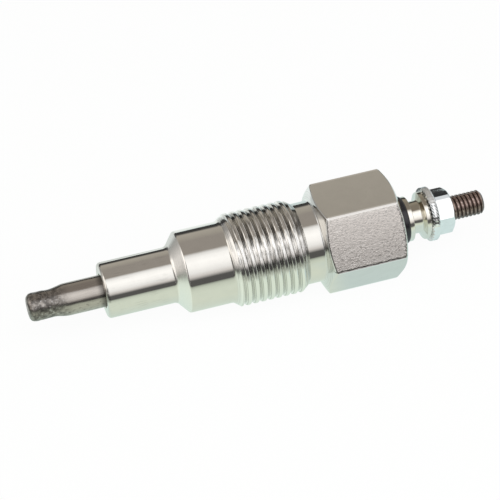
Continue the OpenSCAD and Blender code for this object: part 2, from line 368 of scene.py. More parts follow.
def cut_hexagon(bm, width, front, back):
    """Makes a hexagon of the two rings of vertices that lie at its corners' radius.

    Its corners come to lie on columns 0, 24, 48 and so on. front and back give a vertex's station from
    its radius, in the ring at the lower and at the higher station.
    """
    corner = width / math.sqrt(3)
    tolerance = mm(0.01)
    rings = [v for v in bm.verts if abs(radius_of(v) - corner) < tolerance]
    middle = sum(v.co.x for v in rings) / len(rings)
    for vert in rings:
        column = column_of(vert)
        radius = width / 2 / math.cos((column % SIDE) * STEP - math.pi / 6)
        station = front if vert.co.x < middle else back
        place(vert, station(radius), radius, column)


def round_hexagon(bm, width, low, high, size):
    """Rounds the sharp edges of a hexagon between two stations, and keeps its flats at that width."""
    inside = width / 2 - mm(0.02)
    sharp = math.radians(15)
    edges = []
    for edge in bm.edges:
        if all(radius_of(v) > inside and low < v.co.x < high for v in edge.verts):
            if edge.calc_face_angle(0) > sharp:
                edges.append(edge)
    bevel(bm, edges, size, "EDGES", segments=3, clamp=True)
    square = [(math.cos(turn), math.sin(turn)) for turn in (math.pi / 6, math.pi / 2, 5 * math.pi / 6)]
    for vert in bm.verts:
        reach = max(abs(vert.co.y * y + vert.co.z * z) for y, z in square)
        if low < vert.co.x < high and reach > width / 2:
            vert.co.yz = vert.co.yz * (width / 2 / reach)


def cut_thread(bm, start, end, crest, depth, pitch, feet, lead, runout):
    """Winds a right-handed thread between two stations.

    It rises from the first radius of feet to the crest over lead, and falls back to the second over runout.
    """
    root = crest - depth
    first = start - pitch
    flat = pitch * 0.06
    top = pitch * 0.44
    flank = (pitch - top) / 2 - flat
    root_round = pitch * 0.04
    crest_round = pitch * 0.13
    thread = draw_outline([
        (first, root, 0),
        (first + flat, root, root_round),
        (first + flat + flank, crest, crest_round),
        (first + flat + flank + top, crest, crest_round),
        (first + pitch - flat, root, root_round),
        (first + pitch, root, 0),
    ])
    spin(thread, 2 * math.pi, COLUMNS, forward=pitch / COLUMNS)
    turn = thread.verts[:] + thread.edges[:] + thread.faces[:]
    for number in range(1, math.ceil((end - start) / pitch) + 1):
        copy = bmesh.ops.duplicate(thread, geom=turn)["geom"]
        moved = [part for part in copy if isinstance(part, bmesh.types.BMVert)]
        bmesh.ops.translate(thread, verts=moved, vec=AXIS * (pitch * number))
    for vert in thread.verts:
        x = min(max(vert.co.x, start), end)
        rise = feet[0] + (crest - feet[0]) * (x - start) / lead
        fall = feet[1] + (crest - feet[1]) * (end - x) / runout
        place(vert, x, min(radius_of(vert), rise, fall), column_of(vert))
    bmesh.ops.remove_doubles(thread, verts=thread.verts[:], dist=WELD)
    bmesh.ops.dissolve_degenerate(thread, edges=thread.edges[:], dist=WELD)
    wound = bpy.data.meshes.new("wound_thread")
    thread.to_mesh(wound)
    thread.free()
    bm.from_mesh(wound)
    bpy.data.meshes.remove(wound)
    bmesh.ops.remove_doubles(bm, verts=[v for v in bm.verts if v.is_boundary], dist=WELD)


def add_object(bm, name, material):
    """Makes the mesh an object of the scene."""
    mesh = bpy.data.meshes.new(name)
    bm.to_mesh(mesh)
    bm.free()
    mesh.materials.append(material)
    added = bpy.data.objects.new(name, mesh)
    bpy.context.scene.collection.objects.link(added)
    return added


def add_piece(bm, name, node, finish):
    """Makes the mesh an object that stands for a CAD node."""
    bmesh.ops.recalc_face_normals(bm, faces=bm.faces[:])
    open_edges = [edge for edge in bm.edges if not edge.is_manifold]
    if open_edges:
        spot = open_edges[0].verts[0].co
        raise RuntimeError(f"{name} isn't closed: {len(open_edges)} open edges, near {spot}")
    for face in bm.faces:
        face.smooth = True
    piece = add_object(bm, name, finish)
    piece.data.set_sharp_from_angle(angle=SHARP)
    weighted = piece.modifiers.new("weighted_normals", "WEIGHTED_NORMAL")
    weighted.keep_sharp = True
    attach(piece, "root")
    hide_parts(node)


# Finishes


def both_ways(operation):
    """An operator of Level and its reflected form, which add a Math node."""

    def straight(self, other):
        return self.finish.math(operation, self, other)

    def reflected(self, other):
        return self.finish.math(operation, other, self)

    return straight, reflected


class Level:
    """A number that varies over a surface. Arithmetic on it adds Math nodes."""

    def __init__(self, finish, socket):
        self.finish = finish
        self.socket = socket

    __add__, __radd__ = both_ways("ADD")
    __sub__, __rsub__ = both_ways("SUBTRACT")
    __mul__, __rmul__ = both_ways("MULTIPLY")
    __truediv__, __rtruediv__ = both_ways("DIVIDE")
    __pow__, __rpow__ = both_ways("POWER")

    def __abs__(self):
        return self.finish.math("ABSOLUTE", self)

    def top(self, other):
        """The larger of the two."""
        return self.finish.math("MAXIMUM", self, other)

    def rise(self, low, high):
        """Runs smoothly from 0 at low to 1 at high, or the other way round if low is the larger."""
        if low > high:
            return 1 - self.rise(high, low)
        made = self.finish.node(
            "MapRange",
            {"interpolation_type": "SMOOTHSTEP"},
            {"Value": self, "From Min": low, "From Max": high},
        )
        return Level(self.finish, made.outputs["Result"])

    def band(self, low, high, blur):
        """1 between two values and 0 outside, with soft ends inside the two."""
        return self.rise(low, low + blur) * self.rise(high, high - blur)


class Finish:
    """The node tree of a material or world that is being put together."""

    def __init__(self, owner):
        owner.use_nodes = True
        self.owner = owner
        self.tree = owner.node_tree
        self.tree.nodes.clear()

    def node(self, kind, settings=None, sockets=None):
        """Adds a node: its settings first, then the values or links of its sockets."""
        made = self.tree.nodes.new("ShaderNode" + kind)
        for name, value in (settings or {}).items():
            if name == "stops":
                self.set_stops(made.color_ramp, value)
            else:
                setattr(made, name, value)
        for name, value in (sockets or {}).items():
            value = value.socket if isinstance(value, Level) else value
            if isinstance(value, bpy.types.NodeSocket):
                self.tree.links.new(value, made.inputs[name])
            else:
                made.inputs[name].default_value = value
        return made

    def set_stops(self, ramp, stops):
        """Gives a colour ramp its (place, colour) stops."""
        while len(ramp.elements) < len(stops):
            ramp.elements.new(1)
        for element, (where, value) in zip(ramp.elements, stops):
            element.position = where
            element.color = (*value, 1)

    def math(self, operation, *operands):
        """A Math node on levels or numbers."""
        made = self.node("Math", {"operation": operation}, dict(enumerate(operands)))
        return Level(self, made.outputs[0])

    def coordinates(self):
        """Sets out the Object coordinates and their three parts, in metres."""
        self.place = self.node("TexCoord").outputs["Object"]
        parts = self.node("SeparateXYZ", None, {"Vector": self.place}).outputs
        self.x, self.y, self.z = (Level(self, part) for part in parts)

    def off_axis(self):
        """Distance from the plug's axis."""
        return (self.y * self.y + self.z * self.z) ** 0.5

    def scaled(self, size, stretch=(1, 1, 1)):
        """Coordinates in steps of that size, which stretch makes longer along an axis."""
        scale = [1 / (size * part) for part in stretch]
        return self.node("VectorMath", {"operation": "MULTIPLY"}, {0: self.place, 1: scale}).outputs[0]

    def noise(self, size, detail=2, stretch=(1, 1, 1)):
        """Noise about 0.5, with features of that size in metres. stretch makes them longer along an axis."""
        sockets = {"Vector": self.scaled(size, stretch), "Scale": 1.0, "Detail": detail, "Roughness": 0.55}
        return Level(self, self.node("TexNoise", None, sockets).outputs["Fac"])

    def cells(self, size):
        """Distance from the nearest of many scattered points, as a share of that size."""
        made = self.node("TexVoronoi", None, {"Vector": self.scaled(size), "Scale": 1.0})
        return Level(self, made.outputs["Distance"])

    def ray(self, kind):
        """1 for rays of that kind and 0 for others."""
        return Level(self, self.node("LightPath").outputs[f"Is {kind} Ray"])

    def ramp(self, level, stops):
        """Colour that runs through (value, colour) stops as the level grows."""
        low, high = stops[0][0], stops[-1][0]
        placed = [((at - low) / (high - low), value) for at, value in stops]
        share = (level - low) / (high - low)
        return self.node("ValToRGB", {"stops": placed}, {"Fac": share}).outputs["Color"]

    def tint(self, plain, *layers):
        """Colour that goes from plain to the colour of each (share, colour) layer, one after another."""
        for share, tinted in layers:
            ends = [end if isinstance(end, bpy.types.NodeSocket) else (*end, 1) for end in (plain, tinted)]
            made = self.node(
                "Mix",
                {"data_type": "RGBA", "clamp_factor": True},
                {0: share, 6: ends[0], 7: ends[1]},
            )
            plain = made.outputs[2]
        return plain

    def bump(self, height, strength, depth):
        """Normal from a height between 0 and 1 that stands for a depth in metres."""
        made = self.node("Bump", None, {"Strength": strength, "Distance": depth, "Height": height})
        return made.outputs["Normal"]

    def end(self, shader):
        """Ends the material with a shader and returns it."""
        self.node("OutputMaterial", None, {"Surface": shader.outputs[0]})
        return self.owner

    def surface(self, **sockets):
        """Ends the material with a Principled shader. Names are the sockets' with _ for a space."""
        named = {name.replace("_", " "): value for name, value in sockets.items()}
        return self.end(self.node("BsdfPrincipled", None, named))

    def glow(self, light, strength):
        """Shader that gives light."""
        return self.node("Emission", None, {"Color": light, "Strength": strength})


def new_finish(name):
    """Starts a material on Object coordinates."""
    f = Finish(bpy.data.materials.new(name))
    f.coordinates()
    return f


def shade(value, factor):
    """A colour made darker or lighter."""
    return tuple(part * factor for part in value)


def nose_marks(f, nickel, body, lines, ragged):
    """Marks of nose and seat: a pale cone, a painted dark reflection on the rim and rubbed streaks.

    Returns their tints, roughness and height.
    """
    seat = f.x.band(body.seat_x - mm(0.1), body.seat_x + body.seat_len + mm(0.1), mm(0.2))
    lean = f.z / f.off_axis()
    # Painted dark reflection on the lower front of the nose's rim, ragged by noise
    dark_rim_reflection = f.x.rise(NOSE_X + mm(0.75), NOSE_X + mm(0.55)) * lean.rise(0.18, 0.3) * lean.rise(0.74, 0.64)
    dark_rim_reflection = dark_rim_reflection * f.y.rise(0, mm(-0.5)) * ragged.rise(0.36, 0.48)
    nose = f.x.rise(body.seat_x + mm(0.2), body.seat_x - mm(0.2))
    rubs = f.noise(mm(0.3), 3, (9, 1, 1)).rise(0.52, 0.66)
    rubbed = nose * rubs * f.noise(mm(3)).rise(0.4, 0.6)
    tints = (
        (seat * 0.85, (0.96, 0.95, 0.93)),
        (dark_rim_reflection * 0.7, shade(nickel, 0.35)),
        (rubbed * 0.35, shade(nickel, 0.72)),
    )
    return tints, seat * 0.14, lines * seat * 0.6


def thread_marks(f, nickel, body, lines):
    """Marks of the body's thread: painted shade in its grooves, along its lower flanks and in a dark band,
    streaked flanks with a painted highlight above and painted light below, and a pale lead-in.

    Returns their tints, roughness and height.
    """
    x, z = f.x, f.z
    radius = f.off_axis()
    crest = body.thread_d / 2
    lead_end = body.thread_x + body.thread_lead
    wound = x.band(body.thread_x, body.thread_end_x, mm(0.3))
    lead = wound * x.rise(lead_end + mm(0.5), lead_end)
    root = radius.rise(crest - body.thread_depth * 0.6, crest - body.thread_depth * 0.95)
    # A line a quarter of the thread's depth below its crest; on the lower side it carries painted shade
    drawn = abs(radius - (crest - body.thread_depth * 0.25)).rise(mm(0.09), mm(0.03))
    below = z.rise(mm(2.6), mm(1))
    upper = 1 - below
    lit = upper * z.rise(mm(7.4), mm(6.6))
    # Painted dark reflection in a band from 1.4 to 4.7 mm above the axis
    painted_dark_band = z.band(mm(1.4), mm(4.7), mm(1))
    # Weight of the painted shade in the grooves: strongest just below the top, some on the underside, little
    # between
    hidden = 0.04 + z.rise(mm(6.2), mm(6.9)) * 0.8 - z.rise(mm(7.6), mm(8.4)) * 0.45 + below * 0.3
    streaks = f.noise(mm(0.13), 3, (1, 16, 16))
    chatter = f.noise(mm(0.2), 3, (1, 6, 6))
    tints = (
        # Painted light: the thread's lower side made paler
        (wound * below * 0.85, (0.88, 0.89, 0.86)),
        # Painted highlight: near white where the softbox is mirrored on the upper flanks
        (wound * lit * 0.6, (0.97, 0.955, 0.94)),
        # Streaks on the upper side; the pale ones add to the painted highlight
        (wound * upper * streaks.rise(0.5, 0.6) * 0.7, shade(nickel, 0.32)),
        (wound * upper * streaks.rise(0.47, 0.38) * 0.6, (0.97, 0.95, 0.93)),
        # Painted shade in the thread's grooves
        (wound * root * hidden, shade(nickel, 0.16)),
        (wound * painted_dark_band * 0.4, shade(nickel, 0.3)),
        # Painted shade lines along the flanks on the thread's lower side
        (wound * below * drawn * 0.5, shade(nickel, 0.3)),
        (lead * (0.3 + lines.rise(0.42, 0.6) * 0.6), (0.98, 0.97, 0.95)),
    )
    height = wound * (0.3 + upper * 0.7) * (chatter * 1.2 + streaks * 0.8)
    return tints, wound * 0.04, height


def hexagon_marks(f, nickel, body, lines, ragged):
    """Marks of the hexagon: speckled satin on its front flat, a streaked chamfer, a painted highlight on its
    corner ridges, torn edges.

    Returns the flats, and the marks' tints, roughness and height.
    """
    x, y, z = f.x, f.y, f.z
    radius = f.off_axis()
    leaning = math.cos(math.pi / 6)
    half = body.hex_af / 2
    corner = half / leaning
    across = abs(z).top(abs(y * leaning + z * 0.5)).top(abs(y * leaning - z * 0.5))
    along = x.rise(body.hex_x, body.hex_x + mm(0.2)) * x.rise(HEX_END_X, HEX_END_X - mm(0.1))
    flat = across.rise(half - mm(0.12), half - mm(0.03)) * along
    ridge = radius.rise(corner - mm(0.2), corner - mm(0.14)) * along
    chamfer = x.rise(body.hex_x - mm(0.5), body.hex_x - mm(0.2)) * (1 - flat)
    chamfer = chamfer * x.rise(body.hex_x + mm(2.4), body.hex_x + mm(1.6))
    facing = z.rise(mm(-0.2), mm(0.2)) * y.rise(mm(-5), mm(-6)) * along
    satin = flat * facing * (1 - ridge)
    speckled = satin * (0.5 + z.rise(mm(6), mm(0.5)) * 0.5)
    polished = satin * abs(z - mm(0.8)).rise(mm(0.4), mm(0.15)) * ragged.rise(0.38, 0.55)
    front_lip = x - body.hex_x - (radius - body.hex_front_r) * math.tan(body.hex_front_angle)
    back_lip = HEX_END_X - x - (radius - body.hex_back_r) * math.tan(body.hex_back_angle)
    torn = abs(front_lip - mm(0.14) + (ragged - 0.5) * mm(0.5)).rise(mm(0.13), mm(0.06))
    torn = torn.top(abs(back_lip - mm(0.22) + (ragged - 0.5) * mm(1.9)).rise(mm(0.16), mm(0.07)))
    burr = abs(z - mm(0.24) - (f.noise(mm(1.4), 4) - 0.5) * mm(0.5)).rise(mm(0.13), mm(0.07))
    torn = (torn * flat).top(burr * y.rise(mm(-10), mm(-10.2))) * ragged.rise(0.32, 0.44)
    grain = f.noise(mm(0.2))
    coarse = f.noise(mm(2.2))
    dabs = f.noise(mm(0.28), 3, (1.7, 1, 1))
    glint = (1, 0.97, 0.94)
    tints = (
        (satin, (0.86, 0.815, 0.78)),
        (speckled * dabs.rise(0.47, 0.33), shade(nickel, 0.58)),
        (speckled * dabs.rise(0.53, 0.67), glint),
        (polished * 0.45, glint),
        (chamfer * 0.8, (0.75, 0.755, 0.755)),
        (chamfer * lines.rise(0.48, 0.36) * 0.7, shade(nickel, 0.4)),
        (chamfer * lines.rise(0.52, 0.64) * 0.7, (0.96, 0.965, 0.965)),
        # Painted highlight along the hexagon's corner ridges
        (ridge * 0.9, (1, 0.985, 0.96)),
        (torn * facing * 0.9, shade(nickel, 0.08)),
    )
    pillow = (radius * radius - half * half) * (3 / (corner * corner - half * half))
    rough = flat * 0.03 + satin * (0.07 + grain * 0.08)
    height = satin * (grain * 1.6 + coarse * 0.5) - flat * pillow
    return flat, tints, rough, height


def nickel_finish(colours, body):
    """Bright plate over turned steel, with turning lines and the marks of nose, thread and hexagon."""
    f = new_finish("bright_nickel_plate")
    nickel = colours.nickel
    lines = f.noise(mm(0.09), 2, RINGS)
    ragged = f.noise(mm(0.5), 4)
    clouds = f.noise(mm(2.5), 3)
    waves = f.noise(mm(4), 1)
    worn = f.noise(mm(0.8), 4).rise(0.62, 0.75)
    nose_tints, nose_rough, nose_height = nose_marks(f, nickel, body, lines, ragged)
    thread_tints, thread_rough, thread_height = thread_marks(f, nickel, body, lines)
    flat, hex_tints, hex_rough, hex_height = hexagon_marks(f, nickel, body, lines, ragged)
    clouded = (clouds.rise(0.35, 0.7) * 0.5, shade(nickel, 0.94))
    base = f.tint(nickel, clouded, *nose_tints, *thread_tints, *hex_tints)
    rough = 0.05 + clouds * 0.03 + worn * 0.03 + nose_rough + thread_rough + hex_rough
    height = (1 - flat) * (lines * 0.3 + waves * 0.5) + nose_height + thread_height + hex_height
    return f.surface(Base_Color=base, Metallic=1.0, Roughness=rough, Normal=f.bump(height, 0.3, mm(0.06)))


def sheath_finish(colours, rod):
    """Satin alloy with stains that turns dull, dark and blotchy towards the fired tip, with a painted shadow
    where it enters the nose.
    """
    f = new_finish("heat_resistant_sheath")
    fired = f.x.rise(rod.sheath_x + mm(1.6), rod.swage_x - mm(0.2))
    # Painted shadow on the sheath just before it enters the nose
    mouth = f.x.rise(NOSE_X - mm(1.3), NOSE_X - mm(0.1))
    blotch = f.noise(mm(0.9), 4)
    flakes = f.noise(mm(0.4), 4)
    streaks = f.noise(mm(0.14), 3, (25, 1, 1))
    lines = f.noise(mm(0.06), 2, RINGS)
    waves = f.noise(mm(2.6), 1, (1.6, 1, 1))
    stains = f.noise(mm(0.5), 3, (2, 1, 1)).rise(0.5, 0.66) * f.noise(mm(3)).rise(0.36, 0.54)
    stains = stains * f.z.rise(mm(1.1), mm(-0.4))
    soot = (blotch.rise(0.36, 0.6) * 0.6 + 0.3) * fired
    base = f.tint(
        colours.sheath,
        (streaks.rise(0.3, 0.75) * 0.4, shade(colours.sheath, 0.72)),
        (stains * 0.7, colours.heat_tint_and_shade),
        (soot, colours.heat_tint_and_shade),
        # Painted shadow where the sheath enters the nose
        (mouth * 0.75, colours.heat_tint_and_shade),
        (fired * flakes.rise(0.56, 0.66) * 0.6, (0.6, 0.58, 0.57)),
    )
    rough = 0.11 + streaks * 0.08 + fired * (0.05 + blotch * 0.2)
    height = lines * 0.25 + streaks * 0.25 + waves * 2.4 - stains * 0.4
    height = height + fired * (blotch * 0.9 + flakes * 0.9)
    return f.surface(Base_Color=base, Metallic=1.0, Roughness=rough, Normal=f.bump(height, 0.5, mm(0.06)))


def electrode_finish(colours, rod):
    """Brown-tinted steel with painted shade in the thread's roots and on the underside, and bright where
    crests are worn.
    """
    f = new_finish("brown_tinted_steel")
    steel = colours.electrode
    crest = f.off_axis().rise(rod.stud_d / 2 - rod.stud_depth, rod.stud_d / 2 - mm(0.05))
    mottle = f.noise(mm(0.5), 4)
    scratch = f.noise(mm(0.05), 2, (1, 40, 40))
    # Painted shade on the stud's underside
    underside_shade = f.z.rise(mm(0.6), mm(-1.2)) * (0.45 + mottle * 0.3)
    # Painted shade in the thread's roots: they get a darker copy of the steel
    base = f.tint(
        shade(steel, 0.42),
        (crest, steel),
        (crest * mottle.rise(0.5, 0.66) * 0.6, (0.7, 0.56, 0.52)),
        (underside_shade, shade(steel, 0.22)),
    )
    rough = 0.26 + mottle * 0.14 - crest * 0.1
    height = mottle * 0.6 + scratch * 0.4
    return f.surface(Base_Color=base, Metallic=1.0, Roughness=rough, Normal=f.bump(height, 0.3, mm(0.04)))


def bush_finish(colours):
    """Semi-gloss black moulding with a fine skin and a little dust."""
    f = new_finish("black_moulding")
    skin = f.noise(mm(0.12), 3)
    dust = f.noise(mm(0.9), 4).rise(0.55, 0.8)
    base = f.tint(colours.bush, (dust * 0.3, (0.07, 0.067, 0.072)))
    rough = 0.14 + skin * 0.1 + dust * 0.12
    return f.surface(Base_Color=base, Roughness=rough, Normal=f.bump(skin, 0.2, mm(0.03)))


def knurl_marks(f, rim, start):
    """Slanting grooves in two bands round a flange of that radius and start, with painted shade in them and a
    painted shadow along the flange's front edge.

    Returns the grooves with their painted shade and shadow, the top with painted shade and the matt upper
    edge.
    """
    radius = f.off_axis()
    lean = f.z / radius
    past = f.x - start
    ribs_round = COLUMNS / RIB
    slant = f.math("ARCTAN2", f.z, f.y) * (ribs_round / (2 * math.pi)) - past / mm(0.45)
    ribs = f.math("PINGPONG", slant, 0.5).rise(0.12, 0.24)
    bands = past.rise(mm(0.62), mm(0.52)).top(past.rise(mm(0.88), mm(0.98)))
    rounded = radius.rise(rim - mm(0.3), rim - mm(0.2))
    # Painted shadow along the flange's front edge, next to the collar
    edge = past.rise(mm(0.2), mm(0.1)) * radius.rise(rim - mm(0.6), rim - mm(0.5))
    low = lean.rise(0.3, 0.15)
    high = lean.rise(0.8, 0.92)
    # Grooves with painted shade, left off on the underside and mostly off on top
    knurl_and_shade = rounded * bands * ribs * (1 - low) * (1 - high * 0.8)
    knurl_and_shade = knurl_and_shade.top(edge * (1 - low) * (1 - high * (1 - ribs)))
    # Painted shade on the nut's top flat
    shaded_top = lean.rise(0.93, 0.955) * past.rise(mm(1.5), mm(1.6))
    return knurl_and_shade, shaded_top, rounded * high


def plated_finish(name, bright, top_shade, smoothest, rim=None):
    """Bright plate on a small piece, with painted shade on top in the second colour.

    smoothest is its least roughness. rim gives the radius and start of a flange that is knurled.
    """
    f = new_finish(name)
    clouds = f.noise(mm(1.2), 3)
    fine = f.noise(mm(0.1), 3)
    specks = f.cells(mm(0.6)).rise(0.16, 0.06) * f.noise(mm(2)).rise(0.5, 0.65)
    rough = smoothest + clouds * 0.06 + specks * 0.1
    height = fine * 0.5 + clouds * 0.3
    tints = [(clouds.rise(0.35, 0.7) * 0.5, shade(bright, 0.9)), (specks * 0.5, shade(bright, 0.4))]
    if rim:
        knurl_and_shade, shaded_top, matt = knurl_marks(f, *rim)
        # Painted shade in the grooves and painted shadow at the flange's front edge
        tints.append((knurl_and_shade * 0.92, shade(bright, 0.1)))
        rough = rough + matt * 0.4
        height = height - knurl_and_shade * 2
    else:
        # Painted shade on the top of the collar
        shaded_top = (f.z / f.off_axis()).rise(0.82, 0.92)
    base = f.tint(bright, *tints, (shaded_top, top_shade))
    return f.surface(Base_Color=base, Metallic=1.0, Roughness=rough, Normal=f.bump(height, 0.16, mm(0.05)))


def wire_finish(colours):
    """Drawn resistance wire."""
    f = new_finish("drawn_wire")
    drawn = f.noise(mm(0.05), 3, (1, 6, 6))
    oxide = f.noise(mm(0.6), 3).rise(0.4, 0.7)
    base = f.tint(colours.wire, (oxide * 0.7, shade(colours.wire, 0.5)))
    rough = 0.3 + oxide * 0.2
    return f.surface(Base_Color=base, Metallic=1.0, Roughness=rough, Normal=f.bump(drawn, 0.3, mm(0.01)))


def magnesia_finish(colours):
    """Compacted white powder."""
    f = new_finish("compacted_magnesia")
    powder = f.noise(mm(0.08), 4)
    packed = f.noise(mm(0.9), 3)
    base = f.tint(colours.magnesia, (packed.rise(0.35, 0.7) * 0.6, shade(colours.magnesia, 0.82)))
    rough = 0.8 + powder * 0.15
    return f.surface(Base_Color=base, Roughness=rough, Normal=f.bump(powder, 0.4, mm(0.03)))


def rubber_finish(colours):
    """Matte black rubber."""
    f = new_finish("seal_rubber_matte")
    skin = f.noise(mm(0.15), 3)
    bloom = f.noise(mm(1.4), 3).rise(0.45, 0.75)
    base = f.tint(colours.rubber, (bloom * 0.5, (0.12, 0.12, 0.125)))
    rough = 0.6 + skin * 0.2
    return f.surface(Base_Color=base, Roughness=rough, Normal=f.bump(skin, 0.3, mm(0.03)))


# Operators


class PlugOperator:
    """What the operators share."""

    bl_options = {"REGISTER", "UNDO"}

    @property
    def plug(self):
        """The plug's settings."""
        return bpy.context.scene.glow_plug


class GLOWPLUG_OT_body(PlugOperator, bpy.types.Operator):
    """Turns the body, cuts its hexagon and winds its thread"""

    bl_idname = "glowplug.body"
    bl_label = "Body"

    def execute(self, context):
        s = self.plug.body
        corner = s.hex_af / math.sqrt(3)
        front_slope = math.tan(s.hex_front_angle)
        back_slope = math.tan(s.hex_back_angle)
        mouth = s.seat_bore_d / 2 + s.mouth_gap
        fillet_rise = s.thread_fillet * 0.4
        foot = s.shoulder_d / 2 + fillet_rise
        bm = draw_outline([
            (s.thread_x, foot, 0),
            (s.thread_x - s.thread_fillet, s.shoulder_d / 2, s.thread_fillet / 2),
            (s.seat_x + s.seat_len, s.shoulder_d / 2, s.shoulder_edge),
            (s.seat_x, s.nose_d / 2, s.seat_fillet),
            (NOSE_X, s.nose_d / 2, s.nose_round),
            (NOSE_X, mouth, s.bore_edge),
            (NOSE_X + s.mouth_depth, mouth, 0),
            (NOSE_X + s.mouth_depth, s.seat_bore_d / 2, 0),
            (s.chamber_x, s.seat_bore_d / 2, 0),
            (s.chamber_x, s.chamber_d / 2, 0),
            (s.ledge_x, s.chamber_d / 2, 0),
            (s.ledge_x, s.counterbore_d / 2, 0),
            (HEX_END_X, s.counterbore_d / 2, s.bore_edge),
            (HEX_END_X, s.hex_back_r, 0),
            (HEX_END_X - (corner - s.hex_back_r) * back_slope, corner, 0),
            (s.hex_x + (corner - s.hex_front_r) * front_slope, corner, 0),
            (s.hex_x, s.hex_front_r, s.hex_front_edge),
            (s.hex_x, s.neck_d / 2, s.neck_fillet),
            (s.thread_end_x, s.neck_d / 2, 0),
        ])
        turn_outline(bm)
        cut_hexagon(
            bm,
            s.hex_af,
            lambda radius: s.hex_x + (radius - s.hex_front_r) * front_slope,
            lambda radius: HEX_END_X - (radius - s.hex_back_r) * back_slope,
        )
        round_hexagon(bm, s.hex_af, s.hex_x, HEX_END_X, s.hex_edge)
        cut_thread(
            bm,
            start=s.thread_x,
            end=s.thread_end_x,
            crest=s.thread_d / 2,
            depth=s.thread_depth,
            pitch=s.thread_pitch,
            feet=(foot, s.neck_d / 2),
            lead=s.thread_lead,
            runout=s.thread_runout,
        )
        add_piece(bm, "plated_body", "body_shell", nickel_finish(self.plug.colours, s))
        return {"FINISHED"}


class GLOWPLUG_OT_sheath(PlugOperator, bpy.types.Operator):
    """Turns the sheath, closes its swaged tip and dents it"""

    bl_idname = "glowplug.sheath"
    bl_label = "Sheath"

    def execute(self, context):
        s = self.plug.rod
        bm = draw_outline([
            (TIP_X, 0, 0),
            (TIP_X, s.tip_d / 2, s.tip_round),
            (TIP_X + s.tip_len, s.tip_d / 2, s.swage_round),
            (s.swage_x, s.tip_neck_d / 2, s.swage_round),
            (s.sheath_x, s.sheath_d / 2, s.swage_round),
            (SHEATH_END_X, s.sheath_d / 2, s.sheath_edge),
            (SHEATH_END_X, s.bore_d / 2, s.sheath_edge),
            (s.sheath_x, s.bore_d / 2, 0),
            (s.swage_x, s.tip_bore_d / 2, 0),
            (FILL_X, s.tip_bore_d / 2, 0),
            (FILL_X, s.pin_d / 2, 0),
            (FILL_X + s.weld_len, s.pin_d / 2, 0),
            (FILL_X + s.weld_len, 0, 0),
        ])
        outside = s.tip_bore_d / 2 + mm(0.3)
        outer = [e for e in bm.edges if all(radius_of(v) > outside and v.co.x < NOSE_X for v in e.verts)]
        bmesh.ops.subdivide_edges(bm, edges=outer, cuts=5)
        turn_outline(bm)
        self.dent(bm, s, outside)
        add_piece(bm, "swaged_sheath", "sheath_tube", sheath_finish(self.plug.colours, s))
        return {"FINISHED"}

    def dent(self, bm, s, outside):
        """Dents the outer wall of the swaged tip. The dents fade out towards the full diameter."""
        end = s.sheath_x + s.swage_round
        fade = mm(2)
        wide, narrow = mm(1.3), mm(0.6)
        for vert in bm.verts:
            radius = radius_of(vert)
            if radius > outside and vert.co.x < end:
                near = min(1, (end - vert.co.x) / fade)
                dent = noise.noise(vert.co / wide) + 0.5 * noise.noise(vert.co / narrow)
                place(vert, vert.co.x, radius + near * s.tip_dent * dent, column_of(vert))


class GLOWPLUG_OT_electrode(PlugOperator, bpy.types.Operator):
    """Turns the electrode and winds the thread of its stud"""

    bl_idname = "glowplug.electrode"
    bl_label = "Electrode"

    def execute(self, context):
        s = self.plug.rod
        foot = s.stud_d / 2 - s.stud_chamfer
        start = NUT_END_X - s.stud_sunk
        groove = mm(0.2)
        bm = draw_outline([
            (PIN_X, 0, 0),
            (PIN_X, s.pin_d / 2, s.pin_edge),
            (s.rod_x, s.pin_d / 2, 0),
            (s.rod_x, s.rod_d / 2, s.rod_edge),
            (s.shank_x, s.rod_d / 2, 0),
            (s.shank_x, s.shank_d / 2, s.rod_edge),
            (HEX_END_X, s.shank_d / 2, 0),
            (HEX_END_X, s.engaged_d / 2, 0),
            (start - groove, s.engaged_d / 2, 0),
            (start, foot, 0),
        ])
        end = bm.verts.new((STUD_END_X, -foot, 0))
        bm.edges.new((end, bm.verts.new((STUD_END_X, 0, 0))))
        turn_outline(bm)
        cut_thread(
            bm,
            start=start,
            end=STUD_END_X,
            crest=s.stud_d / 2,
            depth=s.stud_depth,
            pitch=s.stud_pitch,
            feet=(foot, foot),
            lead=s.stud_chamfer,
            runout=s.stud_chamfer,
        )
        finish = electrode_finish(self.plug.colours, s)
        add_piece(bm, "electrode_and_stud", "centre_electrode", finish)
        return {"FINISHED"}


class GLOWPLUG_OT_bush(PlugOperator, bpy.types.Operator):
    """Turns the black bush"""

    bl_idname = "glowplug.bush"
    bl_label = "Bush"

    def execute(self, context):
        s = self.plug.terminal
        outline = [
            (SPIGOT_X, s.bush_bore_d / 2, 0),
            (SPIGOT_X, s.spigot_d / 2, s.spigot_edge),
            (HEX_END_X, s.spigot_d / 2, 0),
            (HEX_END_X, s.bush_d / 2, s.bush_edge),
            (COLLAR_X, s.bush_d / 2, s.bush_round),
            (COLLAR_X, s.bush_bore_d / 2, 0),
        ]
        bm = draw_outline(outline, closed=True)
        turn_outline(bm)
        add_piece(bm, "moulded_bush", "insulating_bush", bush_finish(self.plug.colours))
        return {"FINISHED"}


